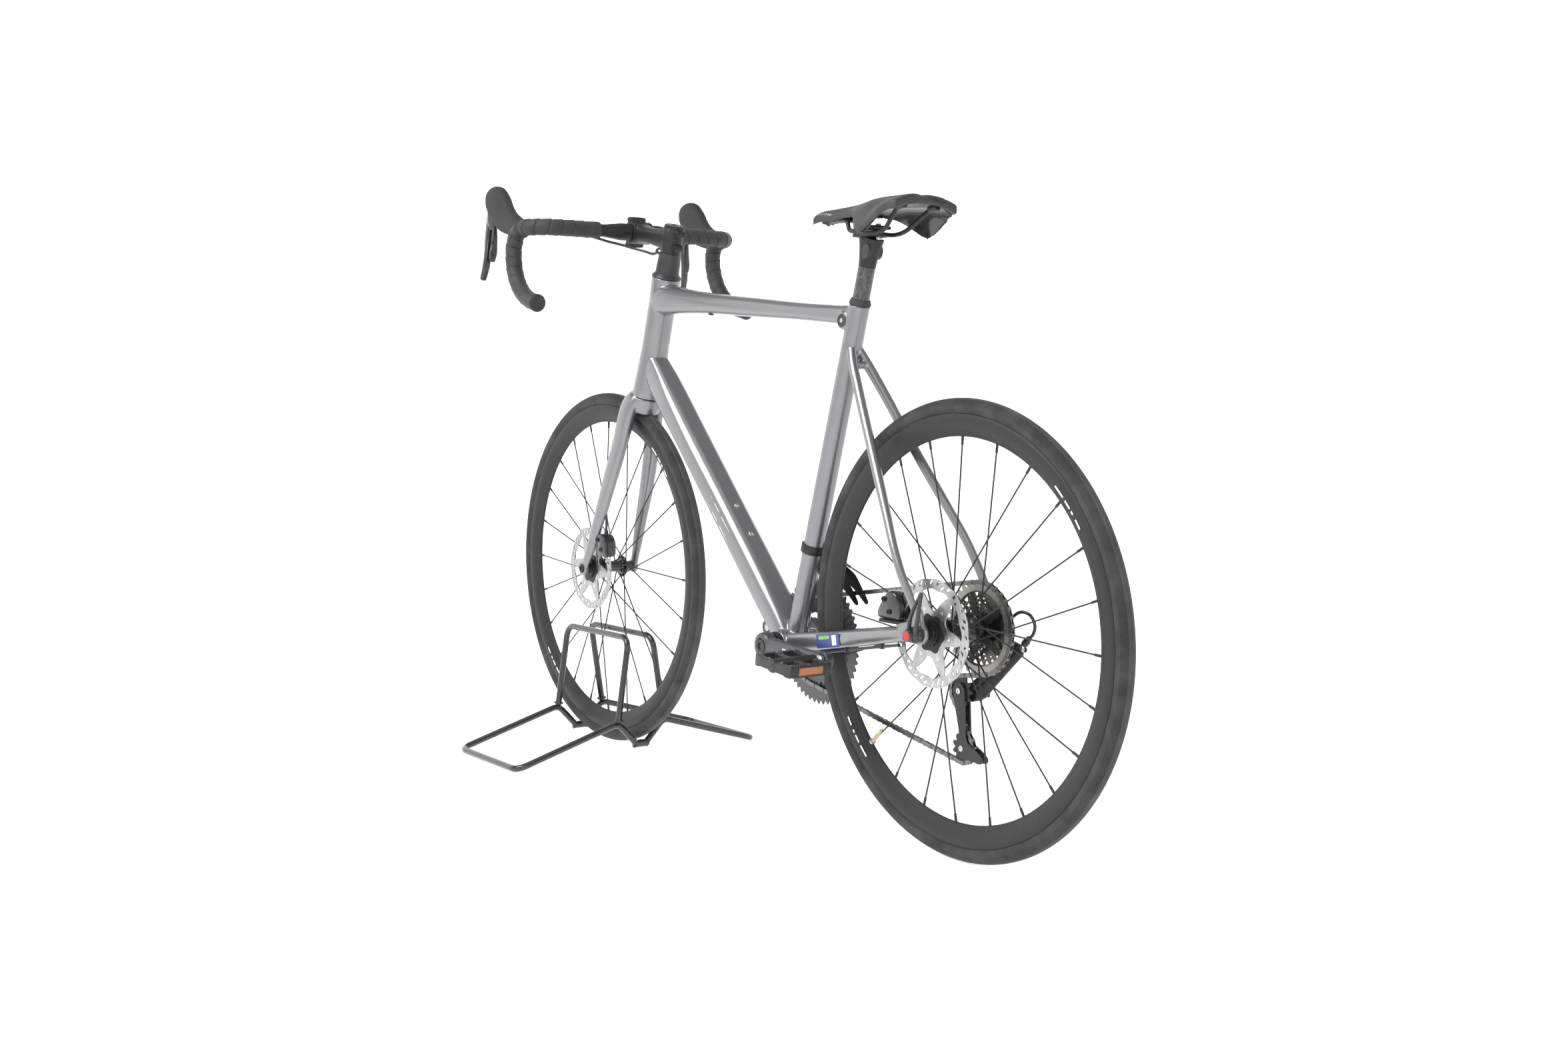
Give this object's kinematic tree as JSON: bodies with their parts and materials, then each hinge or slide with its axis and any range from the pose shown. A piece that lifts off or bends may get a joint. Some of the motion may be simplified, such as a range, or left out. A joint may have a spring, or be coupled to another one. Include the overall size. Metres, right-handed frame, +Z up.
{
  "type": "bicycle on stand",
  "caption": "Drop-bar road bicycle with disc brakes and derailleur gears, its front wheel held upright in a bent-rod wheel stand on the floor.",
  "frame": {"origin": "on the floor, in the middle plane, under the midpoint between the tyres' front and rear ends", "axes": "+X towards the front wheel, +Y to the rider's left, +Z up"},
  "size_m": [1.709, 0.533, 1.0756],
  "materials": {
    "silver_paint": "satin",
    "tyre_rubber": "matte",
    "black_alloy": "satin",
    "black_steel": "satin",
    "bare_steel": "polished",
    "dark_alloy": "satin",
    "black_plastic": "matte",
    "gloss_plastic": "gloss",
    "grip_rubber": "matte",
    "saddle_cover": "matte",
    "stand_paint": "gloss"
  },
  "bodies": {
    "stand": {"stand_foot_left": "stand_paint", "stand_foot_right": "stand_paint", "stand_hoop_left": "stand_paint", "stand_hoop_right": "stand_paint", "stand_coupler_front": "stand_paint", "stand_coupler_rear": "stand_paint"},
    "fork": {"fork": "silver_paint", "front_axle": "black_alloy", "front_caliper": "gloss_plastic", "front_caliper_hose": "black_plastic", "headset_cover": "black_plastic", "stem": "black_alloy", "stem_faceplate": "black_alloy", "handlebar": "black_alloy", "bar_tape_left": "grip_rubber", "bar_tape_right": "grip_rubber", "lever_hood_left": "grip_rubber", "lever_hood_right": "grip_rubber", "control_hose_left": "black_plastic", "control_hose_right": "black_plastic"},
    "brake_lever_left": {"brake_lever_left": "gloss_plastic"},
    "brake_lever_right": {"brake_lever_right": "gloss_plastic"},
    "shift_paddle_left": {"shift_paddle_left": "gloss_plastic"},
    "shift_paddle_right": {"shift_paddle_right": "gloss_plastic"},
    "front_wheel": {"front_tyre": "tyre_rubber", "front_rim": "black_alloy", "front_spokes": "black_steel", "front_hub": "black_alloy", "front_rotor": "bare_steel"},
    "frame": {"frame": "silver_paint", "bottom_bracket": "black_alloy", "seat_collar": "grip_rubber", "rear_axle": "black_alloy", "rear_caliper": "gloss_plastic", "seatpost": "black_alloy", "saddle_clamp": "black_alloy", "saddle_rails": "black_steel", "saddle_pad": "saddle_cover", "saddle_shell": "gloss_plastic", "chain": "bare_steel", "derailleur_cage": "black_plastic", "rear_derailleur": "black_alloy", "rear_shift_cable": "black_plastic", "front_derailleur": "black_alloy"},
    "rear_wheel": {"rear_tyre": "tyre_rubber", "rear_rim": "black_alloy", "rear_spokes": "black_steel", "rear_hub": "black_alloy", "rear_rotor": "bare_steel"},
    "cassette": {"cassette": "bare_steel"},
    "crank": {"crank_arm_left": "dark_alloy", "crank_arm_right": "dark_alloy", "chainring_large": "dark_alloy", "chainring_small": "dark_alloy", "pedal_axle_left": "bare_steel", "pedal_axle_right": "bare_steel"},
    "pedal_left": {"pedal_left": "black_plastic"},
    "pedal_right": {"pedal_right": "black_plastic"},
    "guide_pulley": {"guide_pulley": "black_plastic"},
    "tension_pulley": {"tension_pulley": "black_plastic"}
  },
  "joints": [
    {"name": "bike_lift", "type": "slide", "parent": "stand", "child": "fork", "axis": [0, 0, 1], "range_m": [0, 0.28]},
    {"name": "steering", "type": "hinge", "parent": "fork", "child": "frame", "pos_m": [0.32982, 0, 0.79285], "axis": [-0.301, 0, 0.9536], "range_deg": [-60, 60]},
    {"name": "front_wheel_spin", "type": "hinge", "parent": "fork", "child": "front_wheel", "pos_m": [0.51548, 0, 0.3544], "axis": [0, 1, 0], "continuous": true},
    {"name": "rear_wheel_spin", "type": "hinge", "parent": "frame", "child": "rear_wheel", "pos_m": [-0.5156, 0, 0.339], "axis": [0, 1, 0], "continuous": true},
    {"name": "crank_spin", "type": "hinge", "parent": "frame", "child": "crank", "pos_m": [-0.10758, 0, 0.27509], "axis": [0, 1, 0], "continuous": true},
    {"name": "cassette_spin", "type": "hinge", "parent": "frame", "child": "cassette", "pos_m": [-0.5156, 0, 0.339], "axis": [0, 1, 0], "continuous": true},
    {"name": "pedal_left_spin", "type": "hinge", "parent": "crank", "child": "pedal_left", "pos_m": [-0.28006, 0, 0.27251], "axis": [0, 1, 0], "continuous": true},
    {"name": "pedal_right_spin", "type": "hinge", "parent": "crank", "child": "pedal_right", "pos_m": [0.06491, 0, 0.27766], "axis": [0, 1, 0], "continuous": true},
    {"name": "guide_pulley_spin", "type": "hinge", "parent": "frame", "child": "guide_pulley", "pos_m": [-0.47614, -0.0395, 0.24158], "axis": [0, 1, 0], "continuous": true},
    {"name": "tension_pulley_spin", "type": "hinge", "parent": "frame", "child": "tension_pulley", "pos_m": [-0.48285, -0.0395, 0.15547], "axis": [0, 1, 0], "continuous": true},
    {"name": "brake_lever_left_pull", "type": "hinge", "parent": "fork", "child": "brake_lever_left", "pos_m": [0.57199, 0.2135, 1.02706], "axis": [0, 1, 0], "range_deg": [0, 18], "stiffness_Nm_per_rad": 1.5, "springref_deg": -2.86},
    {"name": "shift_paddle_left_push", "type": "hinge", "parent": "brake_lever_left", "child": "shift_paddle_left", "pos_m": [0.56429, 0.213, 1.00694], "axis": [-0.9999, 0, -0.0149], "range_deg": [0, 10], "stiffness_Nm_per_rad": 0.3, "springref_deg": -2.86},
    {"name": "brake_lever_right_pull", "type": "hinge", "parent": "fork", "child": "brake_lever_right", "pos_m": [0.57199, -0.2135, 1.02706], "axis": [0, 1, 0], "range_deg": [0, 18], "stiffness_Nm_per_rad": 1.5, "springref_deg": -2.86},
    {"name": "shift_paddle_right_push", "type": "hinge", "parent": "brake_lever_right", "child": "shift_paddle_right", "pos_m": [0.56429, -0.213, 1.00694], "axis": [0.9999, 0, 0.0149], "range_deg": [0, 10], "stiffness_Nm_per_rad": 0.3, "springref_deg": -2.86}
  ],
  "couplings": [
    {"joint": "cassette_spin", "follows": "crank_spin", "ratio": 1.0588},
    {"joint": "guide_pulley_spin", "follows": "crank_spin", "ratio": -3.2727},
    {"joint": "tension_pulley_spin", "follows": "crank_spin", "ratio": 3.2727}
  ]
}
